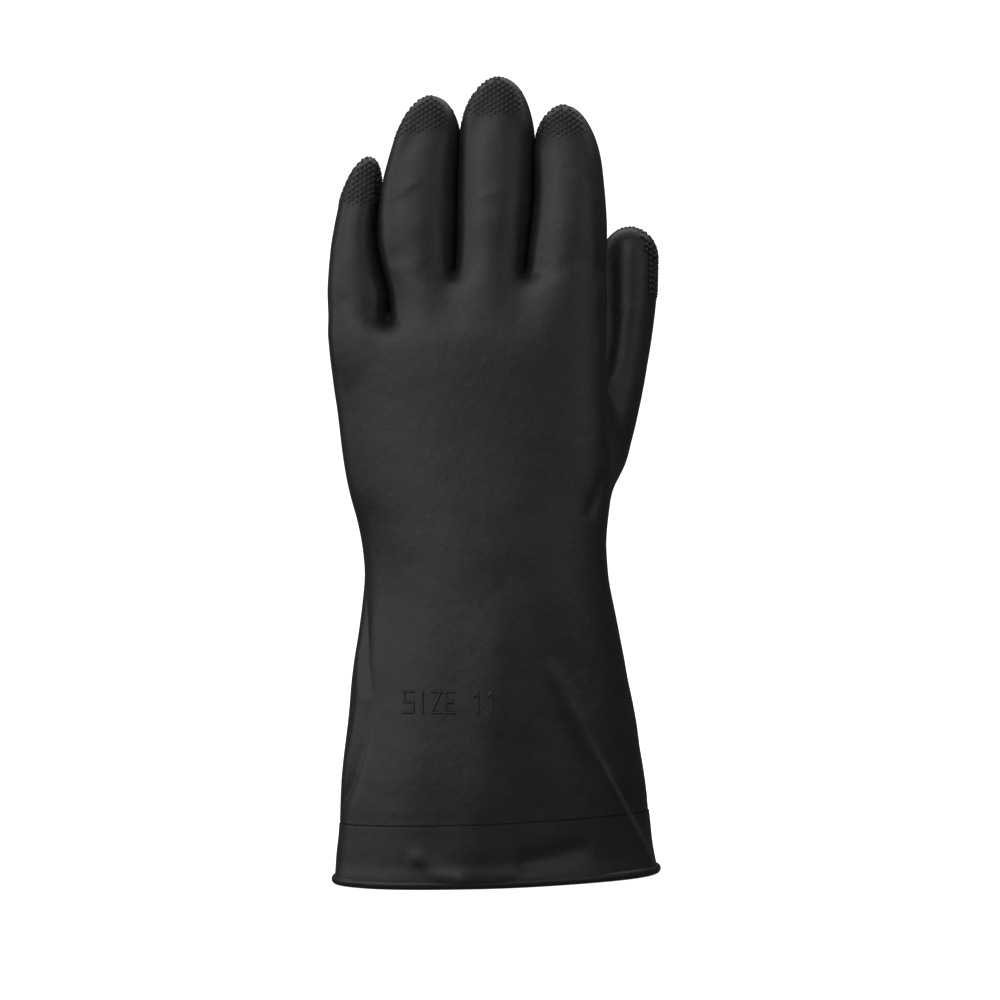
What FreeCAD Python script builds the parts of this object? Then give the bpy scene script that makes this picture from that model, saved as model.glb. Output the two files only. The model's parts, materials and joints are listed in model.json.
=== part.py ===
"""Heavy black rubber glove for electrical work, left hand, 360 mm long, size 11.

The glove stands on its rolled cuff with the fingers up. +Z runs from the cuff to the fingertips, +X
towards the thumb, +Y towards the palm side, so the back of the hand faces -Y. The origin is on the floor
at the middle of the glove's box. The skin is one dipped wall of even thickness; it is split here into
the zones that move, and each fold between two zones is a node of its own.
All sizes are in millimetres.
"""

import FreeCAD, Part

import math
import os
from collections import namedtuple

V = FreeCAD.Vector

# ---------------------------------------------------------------- driving dimensions
WALL = 1.6                  # rubber thickness
BEAD_RADIUS = 2.6           # rolled rim
BEAD_FOOT = 0.5             # how much of the roll is pressed flat where it stands
BEAD_SEAT = 3.9             # height of the face where the band grows out of the roll
BAND_TOP = 27.0             # top of the thicker cuff band
BAND_EXTRA = 0.35           # how far the band stands proud of the sleeve
GRIP_THICKNESS = 0.6        # height of the fingertip grip
FOLD_GAP = 0.7              # half the gap left at a fold when it is fully bent
CUFF_YAW = 14.0             # turn of the cuff about +Z, degrees

WRIST_TILT_Z = 103.0        # sideways hinge of the wrist
WRIST_BEND_Z = 150.0        # forward and backward hinge of the wrist
LOWER_WEB_Z = 249.0         # fork between little and ring finger
UPPER_WEB_Z = 270.0         # forks between ring, middle and index finger

WRIST_TILT_RANGE = (-12.0, 12.0)
WRIST_BEND_RANGE = (-35.0, 45.0)
ROOT_RANGE = (-5.0, 65.0)   # curl of a finger at its root
MID_RANGE = (0.0, 75.0)     # curl at the middle knuckle
TIP_PER_MID = 0.6           # the last knuckle follows the middle one
SWING_RANGE = (0.0, 35.0)   # thumb swings out sideways
THUMB_KNUCKLE_RANGE = (0.0, 35.0)
THUMB_TIP_RANGE = (0.0, 50.0)

# One section of the trunk, from the cuff to the lower web: height, centre in X, half width seen from the
# back, half depth, and how square the oval is (2 is an ellipse).
Section = namedtuple("Section", "z x half_width half_depth square")
TRUNK = [
    Section(2.0, 0.6, 71.0, 29.5, 2.0),
    Section(21.0, -0.2, 69.9, 29.3, 2.0),
    Section(40.0, -1.1, 67.9, 29.0, 2.0),
    Section(59.0, -1.7, 66.1, 28.6, 2.0),
    Section(78.0, -2.1, 63.8, 28.0, 2.0),
    Section(97.0, -2.8, 60.9, 27.2, 2.0),
    Section(116.0, -3.3, 57.7, 26.4, 2.0),
    Section(135.0, -4.1, 54.5, 25.4, 2.05),
    Section(154.0, -5.7, 54.1, 23.8, 2.1),
    Section(173.0, -7.4, 56.7, 21.6, 2.2),
    Section(192.0, -9.2, 59.0, 19.4, 2.3),
    Section(211.0, -10.6, 59.6, 17.6, 2.4),
    Section(230.0, -12.1, 60.6, 16.2, 2.6),
    Section(LOWER_WEB_Z, -12.9, 61.6, 15.2, 2.8),
]
# The knuckle block above the lower web carries the ring, middle and index fingers.
KNUCKLE = [
    Section(LOWER_WEB_Z, -0.4, 49.1, 14.8, 2.8),
    Section(UPPER_WEB_Z, -0.4, 49.1, 13.2, 2.8),
]

# A finger: middle of its root on its web, lean towards the thumb in degrees, length to the apex, half
# width and half depth at the root and above the middle, length of the round tip, tilt towards the palm
# at the root and at the apex, and where its three folds are, counted from the web.
Finger = namedtuple(
    "Finger",
    "name x y web lean length root_width width root_depth depth round_tip tilt_root tilt_apex"
    " root_fold mid_fold tip_fold",
)
FINGERS = [
    Finger("little", -62.9, 0.5, LOWER_WEB_Z, 3.5, 76.0, 12.4, 10.4, 11.5, 10.0, 24.0, 2.0, 14.0, 14.0, 36.0, 56.0),
    Finger("ring", -34.8, 0.0, UPPER_WEB_Z, 3.0, 82.0, 14.0, 15.4, 11.5, 10.8, 30.0, 1.0, 11.0, 13.0, 37.0, 59.0),
    Finger("middle", -1.6, 0.0, UPPER_WEB_Z, 2.5, 90.0, 15.2, 16.4, 11.8, 11.2, 32.0, 1.0, 10.0, 13.0, 39.0, 63.0),
    Finger("index", 33.0, 0.0, UPPER_WEB_Z, 0.0, 78.0, 15.6, 15.6, 11.8, 11.2, 30.0, 1.0, 10.0, 13.0, 36.0, 57.0),
]
GRIP_LENGTH = 30.0          # how far the grip reaches down the palm side from the apex

# The thumb's line from inside the palm to its tip: points with half width across X and half depth.
ThumbPoint = namedtuple("ThumbPoint", "x y z half_width half_depth")
THUMB = [
    ThumbPoint(20.0, 2.0, 160.0, 12.0, 12.0),
    ThumbPoint(40.5, 16.0, 187.0, 13.0, 13.6),
    ThumbPoint(50.8, 22.8, 211.0, 12.0, 14.0),
    ThumbPoint(57.6, 25.5, 235.0, 11.2, 13.6),
    ThumbPoint(61.8, 26.5, 259.0, 10.8, 13.0),
]
THUMB_LENGTH_ABOVE = 34.5   # from the last of those points to the apex
THUMB_SWING_Z = 214.0
THUMB_KNUCKLE_Z = 237.0
THUMB_TIP_Z = 263.0

# Size mark raised on the back of the sleeve: plain block letters drawn with straight strokes, each letter
# in a box one unit wide and one unit high.
MARK_TEXT = "SIZE 11"
LETTERS = {
    "S": [[(1, 1), (0, 1), (0, 0.5), (1, 0.5), (1, 0), (0, 0)]],
    "I": [[(0.5, 0), (0.5, 1)]],
    "Z": [[(0, 1), (1, 1), (0, 0), (1, 0)]],
    "E": [[(1, 1), (0, 1), (0, 0), (1, 0)], [(0, 0.5), (0.8, 0.5)]],
    "1": [[(0.1, 0.78), (0.5, 1), (0.5, 0)]],
}
MARK_Z = 81.0
MARK_X = -40.0              # left side of the first letter
MARK_HEIGHT = 8.5
MARK_LETTER = 4.2           # width of a letter
MARK_PITCH = 6.3            # from one letter to the next
MARK_STROKE = 1.4
MARK_PROUD = 0.5

TIP_ANGLES = (0, 20, 38, 54, 68, 79, 86)   # where a round tip is cut into sections, degrees up its ellipse

OUT = "parts"
os.makedirs(OUT, exist_ok=True)


# ---------------------------------------------------------------- helpers
def save(name, shape):
    """Writes one node and prints its facts."""
    solids = [s for s in shape.Solids if s.Volume > 0.5]
    made = solids[0] if len(solids) == 1 else Part.makeCompound(solids)
    made.exportStep(os.path.join(OUT, name + ".step"))
    box = made.optimalBoundingBox(False)
    print(
        f"{name:22s} solids {len(solids)} valid {made.isValid()} {made.Volume / 1000:8.3f} cm3 "
        f"x {box.XMin:6.1f} {box.XMax:6.1f} y {box.YMin:6.1f} {box.YMax:6.1f} z {box.ZMin:6.1f} {box.ZMax:6.1f}"
    )


def oval_wire(centre, across, deep, half_width, half_depth, square=2.0, points=20):
    """A closed smooth oval: a superellipse with half_width along across and half_depth along deep."""
    power = 2.0 / square
    ring = []
    for i in range(points):
        angle = 2 * math.pi * i / points
        c, s = math.cos(angle), math.sin(angle)
        u = half_width * math.copysign(abs(c) ** power, c)
        v = half_depth * math.copysign(abs(s) ** power, s)
        ring.append(centre + across * u + deep * v)
    curve = Part.BSplineCurve()
    curve.interpolate(Points=ring, PeriodicFlag=True)
    return Part.Wire([curve.toShape()])


def loft(wires, ruled=False):
    return Part.makeLoft(wires, True, ruled)


def yaw_at(z):
    """Turn of a trunk section about +Z, degrees: full at the floor, none from the wrist up."""
    share = max(0.0, 1.0 - z / WRIST_BEND_Z)
    return CUFF_YAW * share * share * (3 - 2 * share)


def trunk_wire(section, inset, z=None):
    """The trunk's oval at a height, turned by the cuff's yaw but as wide seen from the back as its row says."""
    z = section.z if z is None else z
    yaw = math.radians(yaw_at(z))
    across, deep = V(math.cos(yaw), math.sin(yaw), 0), V(-math.sin(yaw), math.cos(yaw), 0)
    turned = section.half_depth * math.sin(yaw)
    half_width = math.sqrt(section.half_width**2 - turned**2) / math.cos(yaw)
    centre = V(section.x, 0, z)
    return oval_wire(centre, across, deep, half_width - inset, section.half_depth - inset, section.square, 24)


def box_between(z_low, z_high, x=(-150, 150), y=(-100, 100)):
    return Part.makeBox(x[1] - x[0], y[1] - y[0], z_high - z_low, V(x[0], y[0], z_low))


def prism(centre, along, palm, side, outline, reach):
    """A straight prism: outline is (along, palm) points about centre, carried from -reach to +reach on side."""
    corners = [centre + along * a + palm * p - side * reach for a, p in outline]
    face = Part.Face(Part.makePolygon(corners + corners[:1]))
    return face.extrude(side * (2 * reach))


def fold_prism(centre, along, palm, side, low_deg, high_deg, depth, reach):
    """The wedge of skin that has to give when a fold bends: open towards the palm by half of high_deg each
    way, and towards the back by half of low_deg each way."""
    g = FOLD_GAP
    front = g + depth * math.tan(math.radians(high_deg) / 2)
    back = g + depth * math.tan(math.radians(abs(low_deg)) / 2)
    outline = [(-back, -depth), (back, -depth), (g, 0), (front, depth), (-front, depth), (-g, 0)]
    return prism(centre, along, palm, side, outline, reach)


def ordered(shape, along):
    """The solids of a shape, lowest first along a direction."""
    solids = [s for s in shape.Solids if s.Volume > 1.0]
    return sorted(solids, key=lambda s: s.CenterOfMass.dot(along))


# ---------------------------------------------------------------- trunk: cuff, sleeve, wrist and hand
def make_trunk():
    outer = loft([trunk_wire(s, 0.0) for s in TRUNK])
    inner = loft([trunk_wire(s, WALL) for s in TRUNK])
    return outer, inner


def make_bead():
    """The roll: a ring of round section along the cuff's oval, flat where it stands and where the band starts."""
    path = trunk_wire(TRUNK[0], WALL / 2, BEAD_RADIUS - BEAD_FOOT)
    edge = path.Edges[0]
    start, tangent = edge.valueAt(edge.FirstParameter), edge.tangentAt(edge.FirstParameter)
    ring = Part.Wire([Part.makeCircle(BEAD_RADIUS, start, tangent)])
    roll = path.makePipeShell([ring], True, True)
    return roll.cut(box_between(-20, 0)).cut(box_between(BEAD_SEAT, 20))


# ---------------------------------------------------------------- fingers
def finger_frame(f):
    """Unit vectors of a finger: up its lean, and sideways across it towards the thumb."""
    lean = math.radians(f.lean)
    return V(math.sin(lean), 0, math.cos(lean)), V(math.cos(lean), 0, -math.sin(lean))


def finger_station(f, s):
    """Centre, direction along and direction to the palm at distance s from the web, on the finger's arc."""
    up, _ = finger_frame(f)
    tilt0, tilt1 = math.radians(f.tilt_root), math.radians(f.tilt_apex)
    bend = (tilt1 - tilt0) / f.length
    tilt = tilt0 + bend * s
    rise = (math.sin(tilt) - math.sin(tilt0)) / bend
    shift = (math.cos(tilt0) - math.cos(tilt)) / bend
    centre = V(f.x, f.y, f.web) + up * rise + V(0, 1, 0) * shift
    along = up * math.cos(tilt) + V(0, 1, 0) * math.sin(tilt)
    palm = V(0, 1, 0) * math.cos(tilt) - up * math.sin(tilt)
    return centre, along, palm


def ease(a, b, t):
    t = min(1.0, max(0.0, t))
    return a + (b - a) * t * t * (3 - 2 * t)


def finger_half_sizes(f, s):
    """Half width and half depth at s: from the root's size to the full size, then an elliptical tip."""
    width, depth = ease(f.root_width, f.width, s / 25.0), ease(f.root_depth, f.depth, s / 25.0)
    into_tip = max(0.0, (s - (f.length - f.round_tip)) / f.round_tip)
    shrink = math.sqrt(max(0.0, 1 - into_tip * into_tip))
    return width * shrink, depth * shrink


def finger_solid(f, inset):
    """Solid of a finger, inset from the skin's outside all over, its round tip too."""
    _, side = finger_frame(f)
    body_top = f.length - f.round_tip
    steps = round((body_top + 8.0) / 9.0)
    wires = []
    for i in range(steps):
        s = -8.0 + (body_top + 8.0) * i / steps
        centre, _, palm = finger_station(f, s)
        width, depth = finger_half_sizes(f, max(0.0, s))
        wires.append(oval_wire(centre, side, palm, width - inset, depth - inset))
    for angle in TIP_ANGLES:
        rise, shrink = math.sin(math.radians(angle)), math.cos(math.radians(angle))
        centre, _, palm = finger_station(f, body_top + (f.round_tip - inset) * rise)
        wires.append(oval_wire(centre, side, palm, (f.width - inset) * shrink, (f.depth - inset) * shrink))
    return loft(wires)


def make_finger(f):
    """All the nodes of one finger: root, base, middle and tip tubes, the three folds and the grip."""
    up, side = finger_frame(f)
    outside, inside = finger_solid(f, 0.0), finger_solid(f, WALL)
    tube = outside.cut(inside).cut(box_between(f.web - 30, f.web))
    folds = []
    for name, s, low, high in (
        ("root_fold", f.root_fold, ROOT_RANGE[0], ROOT_RANGE[1]),
        ("mid_fold", f.mid_fold, MID_RANGE[0], MID_RANGE[1]),
        ("tip_fold", f.tip_fold, 0.0, MID_RANGE[1] * TIP_PER_MID),
    ):
        centre, along, palm = finger_station(f, s)
        folds.append((name, fold_prism(centre, along, palm, side, low, high, f.root_depth + 6, 30)))
    rest = tube
    for name, wedge in folds:
        save(f"{f.name}_{name}", tube.common(wedge))
        rest = rest.cut(wedge)
    for name, solid in zip(("root", "base", "middle", "tip"), ordered(rest, up)):
        save(f"{f.name}_{name}", solid)
    save(f"{f.name}_grip", ordered(make_grip(f, outside).cut(folds[-1][1]), up)[-1])
    return inside


def make_grip(f, outside):
    """A thin pad over the fingertip: the skin of the tip zone, thickened, ending on a slanted cut that
    reaches further down the palm side than down the back."""
    _, side = finger_frame(f)
    swollen = finger_solid(f, -GRIP_THICKNESS)
    top, along, palm = finger_station(f, f.length)
    low_palm = GRIP_LENGTH * min(1.0, f.length / 84.0)
    low_back = 0.45 * low_palm
    reach = 40
    slope = (low_palm - low_back) / (2 * f.depth)
    outline = [
        (-low_back + slope * (-reach + f.depth) * -1, -reach),
        (-low_back - slope * (reach + f.depth), reach),
        (40, reach),
        (40, -reach),
    ]
    keep = prism(top, along, palm, side, outline, reach)
    return swollen.cut(outside).common(keep)


# ---------------------------------------------------------------- thumb
def thumb_row(z):
    """The thumb's line at height z: a smooth cubic curve through the rows of the table, one column at a time."""
    heights = [p.z for p in THUMB]
    z = min(max(z, heights[0]), heights[-1])
    i = max(0, min(len(THUMB) - 2, sum(1 for h in heights[1:] if h < z)))

    def slope(k, column):
        low, high = max(0, k - 1), min(len(THUMB) - 1, k + 1)
        return (getattr(THUMB[high], column) - getattr(THUMB[low], column)) / (heights[high] - heights[low])

    span = heights[i + 1] - heights[i]
    t = (z - heights[i]) / span
    row = {"z": z}
    for column in ("x", "y", "half_width", "half_depth"):
        a, b = getattr(THUMB[i], column), getattr(THUMB[i + 1], column)
        ma, mb = slope(i, column) * span, slope(i + 1, column) * span
        blend = t * t * (3 - 2 * t)
        row[column] = a + (b - a) * blend + ma * t * (1 - t) ** 2 - mb * t * t * (1 - t)
    return ThumbPoint(**row)


def thumb_place(z):
    """Centre of the thumb's line at height z and the directions along it, across it and to its palm side.
    Above the last row the line goes straight on."""
    here, low, high = thumb_row(z), thumb_row(min(z, THUMB[-1].z) - 1.0), thumb_row(z + 1.0)
    along = V(high.x - low.x, high.y - low.y, high.z - low.z).normalize()
    across = (V(1, 0, 0) - along * along.x).normalize()
    centre = V(here.x, here.y, here.z) + along * (max(0.0, z - THUMB[-1].z) / along.z)
    return centre, along, across, along.cross(across)


def thumb_solid(inset):
    """Solid of the thumb, inset from the skin's outside all over, its round tip too."""
    wires = []
    steps = round((THUMB[-1].z - THUMB[0].z) / 10.0)
    for i in range(steps):
        z = THUMB[0].z + (THUMB[-1].z - THUMB[0].z) * i / steps
        row = thumb_row(z)
        centre, _, across, palm = thumb_place(z)
        wires.append(oval_wire(centre, across, palm, row.half_width - inset, row.half_depth - inset))
    centre, along, across, palm = thumb_place(THUMB[-1].z)
    width, depth = THUMB[-1].half_width - inset, THUMB[-1].half_depth - inset
    for angle in TIP_ANGLES:
        rise, shrink = math.sin(math.radians(angle)), math.cos(math.radians(angle))
        middle = centre + along * ((THUMB_LENGTH_ABOVE - inset) * rise)
        wires.append(oval_wire(middle, across, palm, width * shrink, depth * shrink))
    return loft(wires)


def make_thumb(hand_outside):
    outside, inside = thumb_solid(0.0), thumb_solid(WALL)
    tube = ordered(outside.cut(inside).cut(hand_outside), V(0, 0, 1))[-1]
    centre, _, _, _ = thumb_place(THUMB_SWING_Z)
    swing = fold_prism(centre, V(0, 0, 1), V(1, 0, 0), V(0, 1, 0), 0.0, SWING_RANGE[1], 22, 40)
    cuts = [("thumb_swing_fold", swing)]
    for name, z, high in (
        ("thumb_knuckle_fold", THUMB_KNUCKLE_Z, THUMB_KNUCKLE_RANGE[1]),
        ("thumb_tip_fold", THUMB_TIP_Z, THUMB_TIP_RANGE[1]),
    ):
        centre, along, across, palm = thumb_place(z)
        cuts.append((name, fold_prism(centre, along, palm, across, 0.0, high, 20, 30)))
    rest = tube
    for name, wedge in cuts:
        save(name, tube.common(wedge))
        rest = rest.cut(wedge)
    for name, solid in zip(("thumb_root", "thumb_base", "thumb_middle", "thumb_tip"), ordered(rest, V(0, 0, 1))):
        save(name, solid)
    save("thumb_grip", ordered(make_thumb_grip(outside).cut(cuts[-1][1]), V(0, 0, 1))[-1])
    return inside


def make_thumb_grip(outside):
    """Grip pad on the thumb's tip, on the palm side and the outer side."""
    swollen = thumb_solid(-GRIP_THICKNESS)
    point, along, across, palm = thumb_place(THUMB[-1].z)
    apex = point + along * THUMB_LENGTH_ABOVE
    facing = (palm + across * 0.35).normalize()
    side = along.cross(facing)
    outline = [(-6, -40), (-12, -4), (-24, 12), (-30, 40), (40, 40), (40, -40)]
    keep = prism(apex, along, facing, side, outline, 40)
    return swollen.cut(outside).common(keep)


# ---------------------------------------------------------------- size mark
def stroke(start, end, width):
    """A straight stroke of the mark on the plane of the back, square at both ends, carried through the skin."""
    along = (end - start).normalize()
    across = V(0, 1, 0).cross(along) * (width / 2)
    a, b = start - along * (width / 2), end + along * (width / 2)
    face = Part.Face(Part.makePolygon([a - across, b - across, b + across, a + across, a - across]))
    return face.extrude(V(0, -40, 0))


def make_mark(trunk_outside):
    """Raised block letters that follow the sleeve's surface."""
    grown = loft([trunk_wire(s, -MARK_PROUD) for s in TRUNK[2:7]])
    skin = grown.common(box_between(60, 100, y=(-100, -5))).cut(trunk_outside)
    letters = []
    for i, letter in enumerate(MARK_TEXT):
        corner = V(MARK_X + i * MARK_PITCH, 0, MARK_Z - MARK_HEIGHT / 2)
        strokes = []
        for line in LETTERS.get(letter, []):
            points = [corner + V(u * MARK_LETTER, 0, v * MARK_HEIGHT) for u, v in line]
            strokes += [stroke(a, b, MARK_STROKE) for a, b in zip(points, points[1:])]
        if strokes:
            whole = strokes[0]
            for more in strokes[1:]:
                whole = whole.fuse(more)
            letters.append(skin.common(whole))
    return Part.makeCompound([solid for letter in letters for solid in letter.Solids])


# ---------------------------------------------------------------- the glove
def main():
    x, y, z = V(1, 0, 0), V(0, 1, 0), V(0, 0, 1)
    outer, inner = make_trunk()
    trunk = outer.cut(inner)

    save("rolled_bead", make_bead())
    swollen = loft([trunk_wire(s, -BAND_EXTRA) for s in TRUNK])
    save("cuff_band", swollen.cut(inner).common(box_between(BEAD_SEAT, BAND_TOP)))

    tilt_low, tilt_high = WRIST_TILT_RANGE
    bend_low, bend_high = WRIST_BEND_RANGE
    tilt_fold = fold_prism(V(-3.0, 0, WRIST_TILT_Z), z, x, y, tilt_low, tilt_high, 75, 60)
    bend_fold = fold_prism(V(-5.5, 0, WRIST_BEND_Z), z, y, x, bend_low, bend_high, 40, 90)
    save("wrist_tilt_fold", trunk.common(tilt_fold))
    save("wrist_bend_fold", trunk.common(bend_fold))

    zoned = trunk.cut(tilt_fold).cut(bend_fold)
    zoned = zoned.cut(box_between(-20, BAND_TOP)).cut(box_between(LOWER_WEB_Z - WALL, 400))
    sleeve, wrist, hand = ordered(zoned, z)
    save("sleeve", sleeve)
    save("wrist_band", wrist)

    thumb_inside = make_thumb(outer)
    hand = hand.cut(thumb_inside)
    back_side = box_between(0, 400, y=(-100, 0))
    save("hand_back", hand.common(back_side))
    save("palm", hand.cut(back_side))

    insides = [make_finger(f) for f in FINGERS]
    knuckle_outer = loft([trunk_wire(s, 0.0) for s in KNUCKLE], True)
    hollow_wires = [
        trunk_wire(KNUCKLE[0], WALL, LOWER_WEB_Z - 3 * WALL),
        trunk_wire(KNUCKLE[1], WALL, UPPER_WEB_Z - WALL),
    ]
    knuckle_hollow = loft(hollow_wires, True)
    lower = outer.common(box_between(LOWER_WEB_Z - WALL, LOWER_WEB_Z))
    save("lower_web", lower.cut(knuckle_hollow).cut(insides[0]))
    block = knuckle_outer.cut(knuckle_hollow)
    save("knuckles", block.cut(box_between(UPPER_WEB_Z - WALL, 400)))
    upper = knuckle_outer.common(box_between(UPPER_WEB_Z - WALL, UPPER_WEB_Z))
    for inside in insides[1:]:
        upper = upper.cut(inside)
    save("upper_web", upper)

    save("size_mark", make_mark(outer))


main()
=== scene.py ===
"""Looks of a heavy black rubber glove for electrical work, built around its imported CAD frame.

The skin is one wall: an implicit surface (a function that is negative inside the rubber's outer face) made of
oval sections for the sleeve and the hand and of round-tipped tubes for the fingers and the thumb. It is cut
into pieces that each cross one joint at most. Lengths in the tables are millimetres; the scene is in metres.
"""

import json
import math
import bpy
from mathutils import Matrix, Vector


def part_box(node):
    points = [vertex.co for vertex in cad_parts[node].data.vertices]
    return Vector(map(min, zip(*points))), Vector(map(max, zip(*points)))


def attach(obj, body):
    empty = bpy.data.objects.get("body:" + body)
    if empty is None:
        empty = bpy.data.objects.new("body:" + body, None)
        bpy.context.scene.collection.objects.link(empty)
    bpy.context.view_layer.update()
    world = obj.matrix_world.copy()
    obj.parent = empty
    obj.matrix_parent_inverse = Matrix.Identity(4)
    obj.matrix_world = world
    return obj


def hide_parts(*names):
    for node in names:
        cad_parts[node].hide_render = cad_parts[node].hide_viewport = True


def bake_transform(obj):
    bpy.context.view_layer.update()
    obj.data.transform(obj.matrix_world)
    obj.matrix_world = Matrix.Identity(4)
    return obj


bl_info = {
    "name": "Insulating Glove",
    "version": (1, 0, 0),
    "blender": (4, 5, 0),
    "location": "View3D > Sidebar > Glove",
    "description": "Builds the skin, rim, grips, mark, materials and studio of a rubber glove",
    "category": "Object",
}

import bpy
import numpy as np
from mathutils import Vector

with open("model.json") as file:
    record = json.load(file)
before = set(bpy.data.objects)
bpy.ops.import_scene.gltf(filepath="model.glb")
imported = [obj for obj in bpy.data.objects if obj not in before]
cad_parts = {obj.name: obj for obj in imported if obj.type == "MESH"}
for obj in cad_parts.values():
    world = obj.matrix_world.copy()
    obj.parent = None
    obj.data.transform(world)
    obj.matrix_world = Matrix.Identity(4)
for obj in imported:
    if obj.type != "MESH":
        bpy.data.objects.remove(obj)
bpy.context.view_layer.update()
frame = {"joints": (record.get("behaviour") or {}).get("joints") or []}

MM = 0.001
FINGERS = ("little", "ring", "middle", "index")

# ---------------------------------------------------------------- the glove's outline, in millimetres
# Height, left edge, right edge, half depth and squareness of the trunk's section (2 is an ellipse).
TRUNK = np.array(
    [
        (-6.0, -71.6, 75.5, 29.3, 2.0),
        (9.0, -70.8, 71.9, 29.3, 2.0),
        (25.0, -69.5, 69.7, 29.1, 2.0),
        (41.0, -68.9, 67.5, 28.9, 2.0),
        (57.0, -67.7, 65.2, 28.5, 2.0),
        (73.5, -66.0, 62.8, 28.1, 2.0),
        (89.5, -64.5, 59.2, 27.5, 2.0),
        (105.5, -62.3, 56.0, 26.8, 2.0),
        (121.5, -60.1, 52.8, 26.0, 2.0),
        (138.0, -59.0, 49.6, 24.9, 2.05),
        (148.5, -60.0, 48.7, 24.1, 2.1),
        (159.5, -62.0, 48.8, 22.8, 2.15),
        (170.0, -64.9, 49.6, 21.6, 2.2),
        (181.0, -67.4, 50.4, 20.4, 2.25),
        (191.5, -69.0, 50.0, 19.4, 2.3),
        (207.5, -70.9, 49.2, 17.9, 2.35),
        (224.0, -73.0, 48.8, 16.6, 2.45),
        (240.0, -73.4, 48.6, 15.4, 2.6),
        (256.0, -74.2, 48.6, 14.0, 2.7),
    ]
)
TRUNK_TOP = 247.0
# The knuckle block: centre across, half width, half depth at its foot and how much less at its top, the
# heights over which it thins, squareness and top.
BLOCK_X = 0.9
BLOCK_HALF = 47.3
BLOCK_DEPTH = 15.6
BLOCK_THINNING = 4.4
BLOCK_FOOT = 235.0
BLOCK_RISE = 36.0
BLOCK_SQUARE = 2.8
BLOCK_TOP = 268.0
# Height, centre, half width, centre in depth and half depth along each finger and the thumb.
TUBES = {
    "little": [
        (225.0, -61.5, 10.0, 0.5, 11.8),
        (250.0, -61.7, 13.3, 0.6, 11.8),
        (262.0, -61.7, 14.1, 1.2, 11.4),
        (272.0, -62.95, 12.45, 2.1, 11.0),
        (281.0, -63.8, 11.1, 3.2, 10.6),
        (292.0, -63.3, 10.0, 4.8, 10.2),
        (300.0, -62.1, 9.7, 6.0, 10.0),
        (310.0, -60.3, 9.4, 7.4, 9.8),
        (325.0, -57.4, 9.4, 9.4, 9.6),
    ],
    "ring": [
        (240.0, -32.7, 12.8, 0.0, 12.0),
        (262.0, -33.2, 13.8, 0.0, 12.3),
        (272.0, -34.45, 16.15, 0.0, 12.1),
        (281.0, -35.3, 17.5, 0.4, 11.8),
        (292.0, -35.45, 17.95, 1.1, 11.5),
        (303.5, -35.05, 17.65, 2.0, 11.1),
        (315.0, -33.85, 16.75, 3.2, 11.0),
        (326.0, -32.0, 15.9, 4.6, 10.9),
        (337.0, -30.2, 15.8, 6.0, 10.8),
        (350.0, -29.2, 15.8, 7.4, 10.7),
    ],
    "middle": [
        (240.0, -4.25, 15.25, 0.0, 11.8),
        (262.0, -3.45, 15.85, 0.0, 12.5),
        (271.0, -2.5, 15.9, 0.0, 12.3),
        (281.0, -1.6, 16.2, 0.4, 12.0),
        (292.0, -0.85, 16.7, 1.0, 11.7),
        (303.5, -0.15, 17.25, 1.9, 11.4),
        (320.0, 0.2, 17.3, 3.6, 11.3),
        (331.0, 0.45, 17.25, 4.9, 11.2),
        (347.5, 0.9, 16.9, 6.9, 11.1),
        (360.0, 1.5, 16.9, 8.2, 11.0),
    ],
    "index": [
        (240.0, 29.3, 17.7, 0.0, 11.8),
        (262.0, 30.3, 17.9, 0.0, 12.4),
        (269.0, 30.95, 17.75, 0.0, 12.2),
        (281.0, 32.25, 17.75, 0.4, 11.9),
        (292.0, 33.0, 17.2, 1.0, 11.6),
        (303.5, 33.3, 16.3, 1.9, 11.3),
        (315.0, 33.0, 15.6, 3.0, 11.2),
        (326.0, 32.1, 15.3, 4.3, 11.0),
        (337.0, 31.25, 15.15, 5.6, 10.8),
        (346.0, 30.9, 14.8, 6.6, 10.7),
    ],
    "thumb": [
        (140.0, 14.0, 9.0, -2.0, 9.0),
        (160.0, 24.0, 13.0, 3.0, 12.0),
        (181.0, 42.5, 14.0, 13.5, 13.6),
        (199.0, 49.5, 13.1, 20.0, 14.0),
        (215.0, 54.1, 12.3, 23.6, 14.0),
        (231.0, 57.7, 11.8, 25.4, 13.8),
        (247.0, 60.2, 11.8, 26.2, 13.5),
        (261.0, 61.1, 12.5, 26.6, 13.2),
        (279.0, 61.2, 13.0, 26.9, 12.8),
        (296.0, 61.2, 13.0, 27.0, 12.6),
    ],
}
TUBES = {name: np.array(rows) for name, rows in TUBES.items()}
# Where each one's round tip starts, and how long it is.
TIPS = {
    "little": (300.0, 24.2),
    "ring": (321.5, 30.0),
    "middle": (329.5, 30.6),
    "index": (319.5, 27.7),
    "thumb": (280.0, 14.6),
}
THUMB_FOOT = 152.0
# Centre and radii of the mound at the thumb's root.
THENAR = ((25.0, 7.0, 190.0), (24.0, 14.0, 42.0))
# How widely the parts are rounded into each other.
TOP_ROUND = 8.0
BLOCK_ROUND = 4.0
MOUND_ROUND = 14.0
THUMB_ROUND = 7.0
FINGER_ROUND = 6.5

# The sleeve's section is turned about the upright axis, most at the cuff and not at all above YAW_END.
CUFF_YAW = math.radians(14.0)
YAW_END = 150.0
WALL = 1.6
# The wall's lower edge, the net's cell and the box that the net is laid in.
RIM_CUT = 2.4
CELL = 1.25
NET_LOW = (-86.0, -38.0, RIM_CUT)
NET_HIGH = (80.0, 46.0, 364.0)
# The fingers are opened sideways while the skin is made and closed again after, so that neighbours stay
# apart: each row is a gap's lower end and which fingers move how far across.
OPENINGS = (
    (250.0, {"little": -3.4}),
    (270.5, {"little": -3.4, "ring": -3.4}),
    (268.5, {"index": 3.4}),
)
OPENING_RISE = 9.0
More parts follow.
